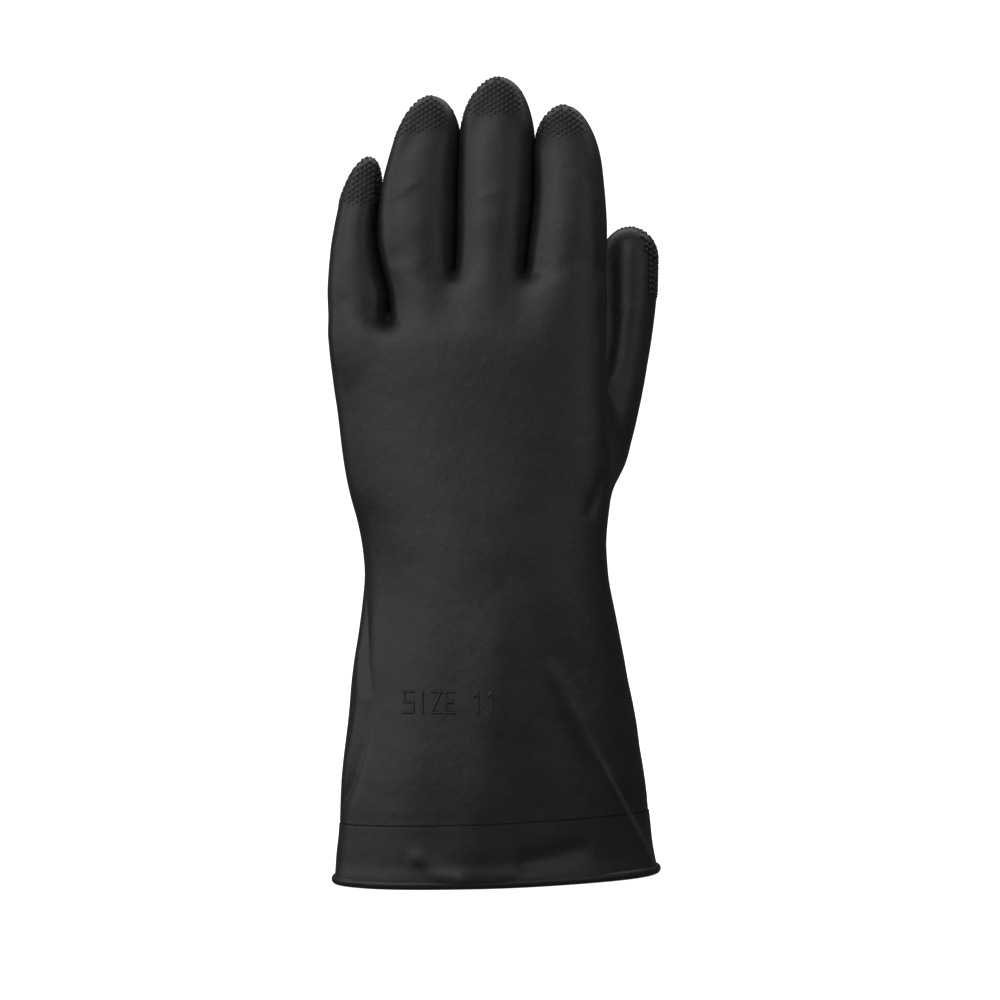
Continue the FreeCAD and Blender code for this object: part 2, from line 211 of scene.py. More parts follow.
# Closing goes a little past touching. A finger's side towards the thumb is set back, its other side is full.
PRESSED = 1.07
RECEDE = 5.5
RECEDE_FROM = 0.35
FULL_SIDE = 1.35

BEAD_RADIUS = 2.2
BUMP_HEIGHT = 0.56
MARK_PROUD = 0.55
RUBBER_COLOUR = (0.0165, 0.017, 0.0178)
GRIP_COLOUR = (0.019, 0.0188, 0.0192)
# Pale grey mixed into the rubber's colour as painted highlights along the sleeve's fold and just above the
# rim.
PAINTED_HIGHLIGHT_COLOUR = (0.065, 0.065, 0.064, 1)
# The knuckles are evened from the first height, over a rise, to the third, over a fall, in small steps.
EVENED = (218.0, 14.0, 294.0, 16.0)
EVEN_ROUNDS = 70
EVEN_STEP = 0.6
# The rim's net: points around the cuff and around its own section.
RIM_COUNTS = (420, 20)
BAND_TOP = 27.0
BAND_STEP = 0.15
# The line above the cuff band: where the net's rows go around it, over the band's top, its depth, and how
# much higher it runs at x = 0 and per millimetre towards the thumb.
LINE_ROWS = (-0.2, 0.0, 0.9, 2.3, 4.0)
LINE_DEPTH = 0.35
LINE_SHADE = 0.55
LINE_RISE = (0.9, 0.018)

# Folds of the sleeve with a sharp edge, from end to end in the plane of the back.
SHARP_FOLDS = (((30.0, 86.0), (76.0, -2.0)),)
# The fold down the sleeve's left side, from the wrist to the band: height and place across.
SIDE_FOLD = ((134.0, -58.5), (99.5, -57.0), (82.0, -55.0), (62.4, -57.9), (45.4, -62.7), (36.0, -67.0))
# Straight ridges (height over nought) and valleys (under nought) of the back: start and end as place across
# and height, width, how far they stand proud, and whether the crest is sharp.
BACK_FOLDS = (
    ((24.0, 96.0), (55.0, 40.0), 3.4, 0.7, False),
    ((41.0, 62.0), (76.0, -2.0), 0.9, 1.25, True),
    ((25.0, 80.0), (63.0, -6.0), 7.0, -0.9, False),
    ((4.0, 118.0), (-6.0, 4.0), 15.0, 1.8, False),
    ((22.0, 118.0), (14.0, 4.0), 11.0, -0.8, False),
    ((-36.0, 15.0), (-13.0, 4.0), 3.6, 0.8, False),
    ((-26.0, 6.6), (12.0, 6.6), 2.6, 0.4, False),
    ((10.0, 10.0), (40.0, 16.0), 4.5, -1.3, False),
    ((-47.0, 303.0), (-34.0, 311.5), 1.9, 0.45, False),
    ((45.5, 301.0), (37.0, 316.0), 2.2, 0.4, False),
    ((-12.0, 302.0), (9.0, 309.0), 2.2, 0.18, False),
    ((49.0, 181.5), (41.0, 162.0), 2.6, -0.8, False),
)
# How far the cuff's edge flares over the rim, below which height and over how much of it.
FLARE = 0.8
FLARE_TOP = 11.0
FLARE_RISE = 8.0
# Painted highlights, where pale grey is mixed into the front of the skin along the sleeve's fold towards the
# thumb and just above the rim: start, end, width and how much.
PAINTED_HIGHLIGHT_LINES = (
    ((46.0, 56.0), (78.0, -6.0), 0.7, 1.0),
    ((31.0, 84.0), (50.0, 48.0), 2.2, 0.22),
    ((-30.0, 9.0), (-15.0, 6.2), 2.4, 0.75),
    ((-18.0, 5.5), (0.0, 5.5), 1.6, 0.3),
)


# ---------------------------------------------------------------- functions on arrays
def curve(rows, z):
    """Smooth cubic through the rows' columns at heights z: each span is a cubic whose end slopes are the
    slopes of the chords around its ends. Returns one array per column."""
    knots = rows[:, 0]
    values = rows[:, 1:]
    slopes = np.gradient(values, knots, axis=0)
    z = np.clip(z, knots[0], knots[-1])
    i = np.clip(np.searchsorted(knots, z, side="right") - 1, 0, len(knots) - 2)
    span = knots[i + 1] - knots[i]
    t = ((z - knots[i]) / span)[:, None]
    span = span[:, None]
    a, b, ma, mb = values[i], values[i + 1], slopes[i] * span, slopes[i + 1] * span
    t2, t3 = t * t, t * t * t
    out = (2 * t3 - 3 * t2 + 1) * a + (t3 - 2 * t2 + t) * ma + (3 * t2 - 2 * t3) * b + (t3 - t2) * mb
    return out.T


def smoothstep(t):
    """Nought below t = 0, one above t = 1, and 3 t^2 - 2 t^3 between."""
    t = np.clip(t, 0.0, 1.0)
    return t * t * (3 - 2 * t)


def blend_min(a, b, k):
    """The lower of a and b, rounded over where they are within k of each other."""
    h = np.clip(1 - np.abs(a - b) / k, 0, None)
    return np.minimum(a, b) - h * h * k / 4


def blend_max(a, b, k):
    """The higher of a and b, rounded over in the same way."""
    return -blend_min(-a, -b, k)


def oval_distance(u, v, a, b, n):
    """About the distance from the superellipse |u/a|^n + |v/b|^n = 1, negative inside: the value's root less
    one, over the length of its slope."""
    pu, pv = np.abs(u) / a, np.abs(v) / b
    q = np.maximum(pu**n + pv**n, 1e-9)
    g = q ** (1 / n)
    slope = g ** (1 - n) * np.sqrt((pu ** (n - 1) / a) ** 2 + (pv ** (n - 1) / b) ** 2)
    return (g - 1) / np.maximum(slope, 1 / np.maximum(a, b))


def cuff_turn(z):
    """How far the section is turned at height z: CUFF_YAW at the floor, easing to nought at YAW_END."""
    return CUFF_YAW * smoothstep(1 - z / YAW_END)


def trunk_field(p):
    """Sleeve and hand: the distance from the turned oval of TRUNK at each height, closed at TRUNK_TOP. The
    oval is as wide as makes its turned outline reach from the table's left edge to its right one."""
    x, y, z = p.T
    left, right, depth, square = curve(TRUNK, z)
    half, centre = (right - left) / 2, (right + left) / 2
    turn = cuff_turn(z)
    c, s = np.cos(turn), np.sin(turn)
    width = np.sqrt(half**2 - (depth * s) ** 2) / c
    u, v = (x - centre) * c + y * s, -(x - centre) * s + y * c
    side = oval_distance(u, v, width, depth, square)
    return blend_max(side, z - TRUNK_TOP, TOP_ROUND)


def block_field(p):
    """The knuckle block: the distance from an upright squarish oval that thins upwards, closed on top."""
    x, y, z = p.T
    depth = BLOCK_DEPTH - BLOCK_THINNING * smoothstep((z - BLOCK_FOOT) / BLOCK_RISE)
    side = oval_distance(x - BLOCK_X, y, BLOCK_HALF, depth, BLOCK_SQUARE)
    return blend_max(side, z - BLOCK_TOP, TOP_ROUND)


def tube_field(p, name, foot, recede=0.0, full=1.0):
    """Round-tipped tube along its rows: an oval in each section, an ellipsoid from where its tip starts and
    below foot.
    Its side towards the thumb is set back by recede times the square of how far past RECEDE_FROM of the half
    width, and below the tip its other side is fuller than an ellipse where full is over one."""
    x, y, z = p.T
    tip_start, tip_length = TIPS[name]
    centre, half, mid_depth, depth = curve(TUBES[name], z)
    up = np.maximum(z - tip_start, 0) / tip_length - np.maximum(foot - z, 0) / 15.0
    u = (x - centre) / half
    v = (y - mid_depth - recede * np.clip(u - RECEDE_FROM, 0, 1) ** 2) / depth
    power = 1 + (full - 1) * (1 - smoothstep(2.0 * up))
    u = np.where(u < 0, -(np.abs(u) ** power), u)
    g = np.sqrt(u * u + v * v + up * up) + 1e-9
    slope = np.sqrt((u / half) ** 2 + (v / depth) ** 2 + (up / tip_length) ** 2) / g
    return (g - 1) / np.maximum(slope, 1 / np.maximum(half, depth))


def finger_field(name, p):
    """One finger's tube, closed."""
    return tube_field(p, name, TUBES[name][0, 0] + 10, RECEDE, FULL_SIDE)


def opened(name, z):
    """How far across a finger is moved at height z while the skin is made."""
    return sum(moved.get(name, 0.0) * smoothstep((z - low) / OPENING_RISE) for low, moved in OPENINGS)


def thumb_field(p):
    """The thumb's tube."""
    return tube_field(p, "thumb", THUMB_FOOT)


def mound_field(p):
    """The mound at the thumb's root: an ellipsoid's value less one, over the length of its slope."""
    centre, radii = np.array(THENAR[0]), np.array(THENAR[1])
    q = (p - centre) / radii
    g = np.linalg.norm(q, axis=1) + 1e-9
    slope = np.linalg.norm(q / radii, axis=1) / g
    return (g - 1) / np.maximum(slope, 1 / radii.max())


def glove_parts(p):
    """The fields of the four opened fingers as rows, and the field of the rest of the glove."""
    tubes = []
    for name in FINGERS:
        moved = p.copy()
        moved[:, 0] -= opened(name, p[:, 2])
        tubes.append(finger_field(name, moved))
    hand = blend_min(trunk_field(p), block_field(p), BLOCK_ROUND)
    hand = blend_min(hand, mound_field(p), MOUND_ROUND)
    return np.array(tubes), blend_min(hand, thumb_field(p), THUMB_ROUND)


def glove_field(p):
    """The whole glove with its fingers opened: the lowest of the tubes, rounded into the rest."""
    tubes, rest = glove_parts(p)
    return blend_min(tubes.min(axis=0), rest, FINGER_ROUND)


def slope_of(field, p, h=0.15):
    """Slope of a field at points, from differences each way."""
    out = np.empty_like(p)
    for k in range(3):
        step = np.zeros(3)
        step[k] = h
        out[:, k] = (field(p + step) - field(p - step)) / (2 * h)
    return out


def settle(field, p, rounds=3):
    """Moves points onto the field's zero surface along its slope."""
    for _ in range(rounds):
        n = slope_of(field, p)
        length = np.maximum((n * n).sum(1), 0.05)
        p = p - n * np.clip(field(p) / length, -1.5, 1.5)[:, None]
    return p


def net_surface(field, low, high, cell):
    """Net of quads over a field's zero surface: one vertex in every cell the surface crosses, at the mean of
    its edge crossings, and one quad across every grid edge that changes sign, facing out."""
    counts = np.ceil((high - low) / cell).astype(int) + 1
    axes = [low[k] + cell * np.arange(counts[k]) for k in range(3)]
    values = np.empty(counts, np.float32)
    for k in range(counts[2]):
        x, y = np.meshgrid(axes[0], axes[1], indexing="ij")
        layer = np.stack([x.ravel(), y.ravel(), np.full(x.size, axes[2][k])], 1)
        values[:, :, k] = field(layer).reshape(x.shape)
    inside = values < 0
    corners = [(i, j, k) for i in (0, 1) for j in (0, 1) for k in (0, 1)]
    n = counts - 1
    total = sum(inside[i : n[0] + i, j : n[1] + j, k : n[2] + k].astype(np.int8) for i, j, k in corners)
    cells = np.argwhere((total > 0) & (total < 8))
    index = np.full(n, -1, np.int64)
    index[tuple(cells.T)] = np.arange(len(cells))
    found = np.zeros((len(cells), 3))
    number = np.zeros(len(cells))
    for a in corners:
        for axis in range(3):
            if a[axis]:
                continue
            b = list(a)
            b[axis] = 1
            va = values[tuple((cells + a).T)]
            vb = values[tuple((cells + b).T)]
            crossed = (va < 0) != (vb < 0)
            t = np.where(crossed, va / np.where(crossed, va - vb, 1), 0)
            point = np.array(a, float) + np.eye(3)[axis] * t[:, None]
            found += point * crossed[:, None]
            number += crossed
    vertices = low + cell * (cells + found / number[:, None])
    quads = []
    for axis in range(3):
        o1, o2 = (axis + 1) % 3, (axis + 2) % 3
        here = [slice(1, n[k]) for k in range(3)]
        here[axis] = slice(0, n[axis])
        there = list(here)
        there[axis] = slice(1, n[axis] + 1)
        first, second = inside[tuple(here)], inside[tuple(there)]
        found_at = np.argwhere(first != second)
        edge = found_at + [s.start for s in here]
        out = first[tuple(found_at.T)]
        around = []
        for d1, d2 in ((-1, -1), (0, -1), (0, 0), (-1, 0)):
            shifted = edge.copy()
            shifted[:, o1] += d1
            shifted[:, o2] += d2
            around.append(index[tuple(shifted.T)])
        quad = np.stack(around, 1)
        quads.append(np.where(out[:, None], quad, quad[:, ::-1]))
    return vertices, np.concatenate(quads)


def mesh_normals(points, faces):
    """Unit normals at the points: the sum of the normals of the faces around each, weighted by area."""
    a, b, c, d = (points[faces[:, k]] for k in range(4))
    across = np.cross(c - a, d - b)
    sums = [np.bincount(faces.ravel(), np.repeat(across[:, k], 4), len(points)) for k in range(3)]
    total = np.stack(sums, 1)
    return total / np.maximum(np.linalg.norm(total, axis=1), 1e-12)[:, None]


def waves(p, seed, length, count=9):
    """Slow uneven swelling between about -1 and 1: a sum of sines along random directions."""
    rng = np.random.default_rng(seed)
    ways = rng.normal(size=(count, 3))
    ways /= np.linalg.norm(ways, axis=1)[:, None]
    ways *= 2 * np.pi / (length * rng.uniform(0.7, 1.6, count))[:, None]
    return np.sin(p @ ways.T + rng.uniform(0, 2 * np.pi, count)).sum(1) / math.sqrt(count)


def crest(off, width, sharp):
    """A ridge's height across it: a cusp, e^(-|off| / width), if it is sharp, or else a bell."""
    return np.exp(-np.abs(off) / width) if sharp else np.exp(-((off / width) ** 2))


def bump_along(p, start, end, width, height, sharp=False):
    """Ridge along a straight line in the plane of the back, fading out over the last eighth at both ends."""
    a, b = np.array(start, float), np.array(end, float)
    way = b - a
    length = np.linalg.norm(way)
    way /= length
    q = p[:, [0, 2]] - a
    t = q @ way / length
    off = q @ np.array([way[1], -way[0]])
    fades = smoothstep(t / 0.25 + 0.5) * smoothstep((1 - t) / 0.25 + 0.5)
    return height * crest(off, width, sharp) * fades


def fold_along(p, path, width, height, sharp=False):
    """Ridge along a curved path down the back, given as rows of height and place across, fading out at both
    ends."""
    z = p[:, 2]
    low, high = path[-1][0], path[0][0]
    heights, places = np.array(path[::-1]).T
    off = p[:, 0] - np.interp(z, heights, places)
    fade = 0.2 * (high - low)
    fades = smoothstep((z - low) / fade + 0.5) * smoothstep((high - z) / fade + 0.5)
    return height * crest(off, width, sharp) * fades


def relief(p, n):
    """How far the skin stands proud of the plain surface at points p with normals n: uneven swelling, which
    fades out between the fingers, and the back's folds, which fade out where the skin turns away."""
    back = smoothstep(-n[:, 1] * 1.6 - 0.1)
    z = p[:, 2]
    sleeve = smoothstep((175 - z) / 60)
    facing = 1 - smoothstep((z - 235) / 25) * (1 - smoothstep(2.2 * np.abs(n[:, 1]) - 0.4))
    out = facing * (0.14 * waves(p, 3, 46.0) * (0.5 + 0.9 * sleeve) + 0.04 * waves(p, 4, 15.0))
    out -= back * fold_along(p, SIDE_FOLD, 2.8, 1.4, True)
    out += back * fold_along(p, [(height, across - 5.0) for height, across in SIDE_FOLD], 3.0, 1.0)
    for fold in BACK_FOLDS:
        out += back * bump_along(p, *fold)
    out += back * FLARE * smoothstep((FLARE_TOP - z) / FLARE_RISE)
    return out


def painted_highlight_share(p):
    """How much painted highlight the front of the skin gets, from 0 to 1: the sum of the ridges along the
    painted highlight lines.
    """
    front = p[:, 1] < 0.22 * p[:, 0]
    out = sum(bump_along(p, *line) for line in PAINTED_HIGHLIGHT_LINES)
    return front * np.minimum(out, 1.0)


# ---------------------------------------------------------------- joints, which set where the skin is cut into pieces
HINGE = {j["name"]: np.array(j["pos_m"]) / MM for j in frame["joints"]}


def bend_zone(joint, way, length, shift=0.0):
    """Start and end of a piece's bend: length long along way, with the joint's axis in the middle."""
    middle = HINGE[joint] + np.array(way) * shift
    return middle - np.array(way) * length / 2, middle + np.array(way) * length / 2


def finger_way(name):
    """Unit vector up a finger, from its root joint to its tip joint."""
    low, high = HINGE[name + "_root_curl"], HINGE[name + "_tip_curl"]
    return (high - low) / np.linalg.norm(high - low)


# The thumb's lower bends lean outwards, so that the web beside the thumb stays below both.
THUMB_WAY = np.array([0.5, 0.1, 0.86]) / math.sqrt(0.5**2 + 0.1**2 + 0.86**2)


def piece_plan():
    """Every piece of the skin: its name, the one or two bodies it lies on, its bend zone, and the CAD nodes
    that it stands for."""
    up = np.array([0.0, 0.0, 1.0])
    plan = {
        "sleeve_skin": (("gauntlet",), None, ("sleeve", "cuff_band")),
        "wrist_tilt_skin": (
            ("gauntlet", "wrist"),
            bend_zone("wrist_tilt", up, 34.0),
            ("wrist_tilt_fold",),
        ),
        "wrist_bend_skin": (
            ("wrist", "hand"),
            bend_zone("wrist_bend", up, 44.0),
            ("wrist_band", "wrist_bend_fold"),
        ),
        "hand_skin": (
            ("hand",),
            None,
            ("hand_back", "palm", "lower_web", "knuckles", "upper_web", "thumb_root"),
        ),
        "thumb_swing_skin": (
            ("hand", "thumb_base"),
            bend_zone("thumb_swing", THUMB_WAY, 13.0, 11.8),
            ("thumb_swing_fold",),
        ),
        "thumb_knuckle_skin": (
            ("thumb_base", "thumb_middle"),
            bend_zone("thumb_knuckle_curl", THUMB_WAY, 10.0),
            ("thumb_base", "thumb_knuckle_fold"),
        ),
        "thumb_tip_skin": (
            ("thumb_middle", "thumb_tip"),
            bend_zone("thumb_tip_curl", up, 20.0),
            ("thumb_middle", "thumb_tip_fold", "thumb_tip"),
        ),
    }
    for name in FINGERS:
        way = finger_way(name)
        plan[name + "_root_skin"] = (
            ("hand", name + "_base"),
            bend_zone(name + "_root_curl", way, 20.0, 0.8),
            (name + "_root", name + "_root_fold"),
        )
        plan[name + "_mid_skin"] = (
            (name + "_base", name + "_middle"),
            bend_zone(name + "_mid_curl", way, 22.0),
            (name + "_base", name + "_mid_fold"),
        )
        plan[name + "_tip_skin"] = (
            (name + "_middle", name + "_tip"),
            bend_zone(name + "_tip_curl", way, 17.0),
            (name + "_middle", name + "_tip_fold", name + "_tip"),
        )
    return plan


PLAN = piece_plan()


def label_faces(centres, owner):
    """Which piece each face belongs to. owner is the nearest part of the glove: 0 to 3 for the fingers from
    the little one on, 4 for the thumb and 5 for the rest."""
    names = list(PLAN)
    z = centres[:, 2]
    label = np.full(len(centres), names.index("hand_skin"))

    def halfway(lower, upper):
        end, start = PLAN[lower][1][1], PLAN[upper][1][0]
        return (end + start) / 2

    label[z < PLAN["wrist_bend_skin"][1][1][2] + 1.5] = names.index("wrist_bend_skin")
    label[z < halfway("wrist_tilt_skin", "wrist_bend_skin")[2]] = names.index("wrist_tilt_skin")
    label[z < PLAN["wrist_tilt_skin"][1][0][2] - 1.5] = names.index("sleeve_skin")
    for k, name in enumerate(FINGERS):
        way = finger_way(name)
        mine = owner == k
        height = centres @ way
        cuts = (
            PLAN[name + "_root_skin"][1][0] @ way - 0.6,
            halfway(name + "_root_skin", name + "_mid_skin") @ way,
            halfway(name + "_mid_skin", name + "_tip_skin") @ way,
        )
        for cut, piece in zip(cuts, ("_root_skin", "_mid_skin", "_tip_skin")):
            label[mine & (height > cut)] = names.index(name + piece)
    mine = owner == 4
    height = centres @ THUMB_WAY
    swing_cut = PLAN["thumb_swing_skin"][1][0] @ THUMB_WAY - 1.0
    knuckle_cut = halfway("thumb_swing_skin", "thumb_knuckle_skin") @ THUMB_WAY
    label[mine & (height > swing_cut)] = names.index("thumb_swing_skin")
    label[mine & (height > knuckle_cut)] = names.index("thumb_knuckle_skin")
    label[mine & (z > PLAN["thumb_tip_skin"][1][0][2] - 2.5)] = names.index("thumb_tip_skin")
    return label


# ---------------------------------------------------------------- meshes
def make_object(name, points, faces, normals=None):
    """A smooth mesh object at the origin from points in millimetres and a list of faces."""
    mesh = bpy.data.meshes.new(name)
    mesh.from_pydata((points * MM).tolist(), [], faces)
    mesh.update()
    mesh.polygons.foreach_set("use_smooth", np.full(len(mesh.polygons), True))
    if normals is not None:
        mesh.normals_split_custom_set_from_vertices(normals.tolist())
    made = bpy.data.objects.new(name, mesh)
    bpy.context.scene.collection.objects.link(made)
    return made


def evened(points, faces):
    """Points of the knuckles' back and palm moved step by step towards the mean of their neighbours, so that
    the trunk, the knuckle block and the fingers flow into each other. The sides and the crotches stay."""
    count = len(points)
    ends = np.concatenate([faces[:, [k, (k + 1) % 4]] for k in range(4)])
    ways = mesh_normals(points, faces)
    z = points[:, 2]
    low, rise, high, fall = EVENED
    pull = smoothstep((z - low) / rise) * smoothstep((high - z) / fall)
    pull *= smoothstep((np.abs(ways[:, 1]) - 0.45) / 0.3) * smoothstep((np.abs(points[:, 1]) - 8.0) / 2.5)
    mine = pull[ends[:, 0]] > 0
    a, b = ends[mine].T
    number = np.maximum(np.bincount(a, minlength=count), 1)
    for _ in range(EVEN_ROUNDS):
        mean = np.stack([np.bincount(a, points[b, k], count) for k in range(3)], 1) / number[:, None]
        points = np.where(pull[:, None] > 0, points + EVEN_STEP * pull[:, None] * (mean - points), points)
    return points


def snapped(points):
    """Points of the back within half a cell of a sharp fold, moved across onto its line."""
    for start, end in SHARP_FOLDS:
        a, b = np.array(start), np.array(end)
        way = (b - a) / np.linalg.norm(b - a)
        q = points[:, [0, 2]] - a
        t = q @ way / np.linalg.norm(b - a)
        off = (q @ np.array([way[1], -way[0]])) / way[1]
        near = (np.abs(off) < 0.52 * CELL) & (t > 0.05) & (t < 0.97) & (points[:, 1] < 0)
        points[near, 0] -= off[near]
    return points


def glove_skin(wall=WALL):
    """The whole wall, closed fingers and relief included: outer points, their normals, inner points, faces,
    the owner of each face and the finger nearest to each point. The net's rows by the cuff band are moved to
    LINE_ROWS and slanted, the band steps out and the row above it makes the groove."""
    points, faces = net_surface(glove_field, np.array(NET_LOW), np.array(NET_HIGH), CELL)
    points = settle(glove_field, points)
    points = settle(glove_field, snapped(points), 1)
    points = evened(points, faces)
    tubes, rest = glove_parts(points)
    thumb = thumb_field(points)
    nearest = np.argmin(tubes, axis=0)
    owner = np.where(tubes.min(axis=0) < rest - 0.5, nearest, 5)
    owner = np.where((owner == 5) & (thumb < 1.2), 4, owner)
    closing = np.stack([opened(name, points[:, 2]) for name in FINGERS])
    near_finger = smoothstep((6.0 - tubes.min(axis=0)) / 3.0)
    row = np.rint((points[:, 2] - RIM_CUT) / CELL - 0.5).astype(int)
    row -= int(round((BAND_TOP - RIM_CUT) / CELL - 0.5))
    for k, lift in enumerate(LINE_ROWS):
        points[row == k, 2] = BAND_TOP + lift
    height = points[:, 2]
    slant = smoothstep(height / 22.0) * smoothstep((60.0 - height) / 26.0)
    points[:, 2] += slant * (LINE_RISE[0] + LINE_RISE[1] * points[:, 0])
    points[:, 0] -= PRESSED * closing[nearest, np.arange(len(points))] * near_finger * (owner != 4)
    normals = mesh_normals(points, faces)
    points = points + normals * relief(points, normals)[:, None]
    normals = mesh_normals(points, faces)
    points = points + normals * (BAND_STEP * (row < 1) - LINE_DEPTH * (row == 1))[:, None]
    normals[row == 1, 2] -= LINE_SHADE
    normals /= np.linalg.norm(normals, axis=1)[:, None]
    inner = points - normals * wall
    corner_owner = owner[faces]
    face_owner = np.where((corner_owner < 4).any(1), corner_owner.min(1), corner_owner[:, 0])
    return points, normals, inner, faces, face_owner, nearest


def rim_edges(faces):
    """Edges that only one face uses, in that face's direction."""
    edges = np.concatenate([faces[:, [k, (k + 1) % 4]] for k in range(4)])
    keys = np.sort(edges, axis=1)
    code = keys[:, 0] * (keys.max() + 1) + keys[:, 1]
    _, first, counts = np.unique(code, return_index=True, return_counts=True)
    return edges[first[counts == 1]]


# ---------------------------------------------------------------- sizes and colours to change
class GLOVE_PG_shape(bpy.types.PropertyGroup):
    """The glove's sizes and colours"""

    wall: bpy.props.FloatProperty(
        name="Wall",
        description="Thickness of the rubber",
        default=WALL * MM,
        unit="LENGTH",
    )
    bead_radius: bpy.props.FloatProperty(
        name="Rim radius",
        description="Radius of the rolled rim",
        default=BEAD_RADIUS * MM,
        unit="LENGTH",
    )
    bump_height: bpy.props.FloatProperty(
        name="Grip height",
        description="Height of the grips' bumps",
        default=BUMP_HEIGHT * MM,
        unit="LENGTH",
    )
    mark_height: bpy.props.FloatProperty(
        name="Mark height",
        description="How far the size mark stands proud",
        default=MARK_PROUD * MM,
        unit="LENGTH",
    )
    rubber_colour: bpy.props.FloatVectorProperty(
        name="Rubber",
        description="Colour of the skin, the rim and the mark",
        default=RUBBER_COLOUR,
        subtype="COLOR",
    )
    grip_colour: bpy.props.FloatVectorProperty(
        name="Grips",
        description="Colour of the fingertip grips",
        default=GRIP_COLOUR,
        subtype="COLOR",
    )


class GLOVE_OT_skin(bpy.types.Operator):
    """Makes the rubber wall and cuts it into pieces, hanging each piece that crosses no joint on its body"""

    bl_idname = "glove.skin"
    bl_label = "Skin"

    def execute(self, context):
        points, normals, inner, faces, owner, nearest = glove_skin(context.scene.glove_shape.wall / MM)
        centres = points[faces].mean(1)
        owner = np.where(owner < 4, nearest[faces[:, 0]], owner)
        label = label_faces(centres, owner)
        material = bpy.data.materials["rubber"]
        for number, (name, (bodies, zone, nodes)) in enumerate(PLAN.items()):
            mine = faces[label == number]
            used, compact = np.unique(mine, return_inverse=True)
            local = compact.reshape(mine.shape)
            count = len(used)
            rim = rim_edges(local)
            edge = np.stack([rim[:, 1], rim[:, 0], rim[:, 0] + count, rim[:, 1] + count], 1)
            both = np.concatenate([points[used], inner[used]])
            ways = np.concatenate([normals[used], -normals[used]])
            all_faces = np.concatenate([local, local[:, ::-1] + count, edge])
            made = make_object(name, both, all_faces.tolist(), ways)
            # The painted highlights' share at each point, kept as an attribute by which the material mixes in
            # pale grey.
            painted_highlight = made.data.attributes.new("painted_highlight", "FLOAT", "POINT")
            painted_highlight.data.foreach_set("value", np.tile(painted_highlight_share(points[used]), 2).astype(np.float32))
            made.data.materials.append(material)
            if zone is None:
                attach(made, bodies[0])
            else:
                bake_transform(made)
            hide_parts(*nodes)
        return {"FINISHED"}


class GLOVE_OT_rim(bpy.types.Operator):
    """Makes the rolled rim at the cuff's edge"""

    bl_idname = "glove.rim"
    bl_label = "Rolled rim"

    def execute(self, context):
        # A round profile, angle b, carried along the wall's middle line, the trunk's turned oval at angle a.
        # Its radius varies a little along the way, and nothing goes below the floor.
        around, across = RIM_COUNTS
        a = np.linspace(0, 2 * np.pi, around, endpoint=False)
        b = np.linspace(0, 2 * np.pi, across, endpoint=False)
        radius = context.scene.glove_shape.bead_radius / MM
        left, right, depth, _ = (column[0] for column in curve(TRUNK, np.array([radius])))
        turn = float(cuff_turn(np.array([radius]))[0])
        c, s = math.cos(turn), math.sin(turn)
        width = math.sqrt(((right - left) / 2) ** 2 - (depth * s) ** 2) / c - WALL / 2
        depth -= WALL / 2
        u, v = width * np.cos(a), depth * np.sin(a)
        path = np.stack([(left + right) / 2 + u * c - v * s, u * s + v * c], 1)
        out = np.stack([np.cos(a) * depth, np.sin(a) * width], 1)
        out /= np.linalg.norm(out, axis=1)[:, None]
        out = np.stack([out[:, 0] * c - out[:, 1] * s, out[:, 0] * s + out[:, 1] * c], 1)
        thick = radius * (1 + 0.03 * np.sin(3 * a + 1) + 0.02 * np.sin(7 * a))
        ring = thick[:, None] * np.cos(b)
        rise = np.maximum(radius + thick[:, None] * np.sin(b), 0.0)
        points = np.concatenate(
            [path[:, None, :] + out[:, None, :] * ring[:, :, None], rise[:, :, None]], 2
        ).reshape(-1, 3)
        i, j = np.meshgrid(np.arange(around), np.arange(across), indexing="ij")
        i2, j2 = (i + 1) % around, (j + 1) % across
        quads = [i * across + j, i2 * across + j, i2 * across + j2, i * across + j2]
        faces = np.stack([q.ravel() for q in quads], 1)
        made = make_object("rolled_rim", points, faces.tolist())
        made.data.materials.append(bpy.data.materials["rubber"])
        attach(made, "gauntlet")
        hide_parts("rolled_bead")
        return {"FINISHED"}


# ---------------------------------------------------------------- grips
GRIP_PITCH = 3.66
GRIP_ROW = 1.28
BUMP_RADIUS = 1.0
BUMP_SIDES = 8
# A dome's rings: share of BUMP_RADIUS and share of the height.
BUMP_RINGS = ((1.0, -0.25), (0.86, 0.35), (0.45, 0.85))
# How far the grip reaches below the tip's top on the back's middle, on the back's edge and on the palm side,
# how far its lower edge leans, in millimetres per millimetre towards the thumb, and where it stops on the
# back towards the thumb, as a share of the half width.
GRIP_REACH = {
    "little": (24.0, 22.0, 31.0, 0.0, 1.1),
    "ring": (18.6, 15.5, 33.0, -0.3, 0.66),
    "middle": (19.8, 17.0, 34.0, -0.05, 0.85),
    "index": (16.5, 13.5, 32.0, -0.15, 0.86),
    "thumb": (1.6, 1.6, 33.6, 0.0, 1.1),
}
# Half size of the box that a tip's grids fill, and how readily a flank, the back or the top takes a point.
GRID_HALF = np.array([20.0, 18.0, 19.0])
SHOW_WEIGHT = np.array([0.62, 1.0, 0.8])


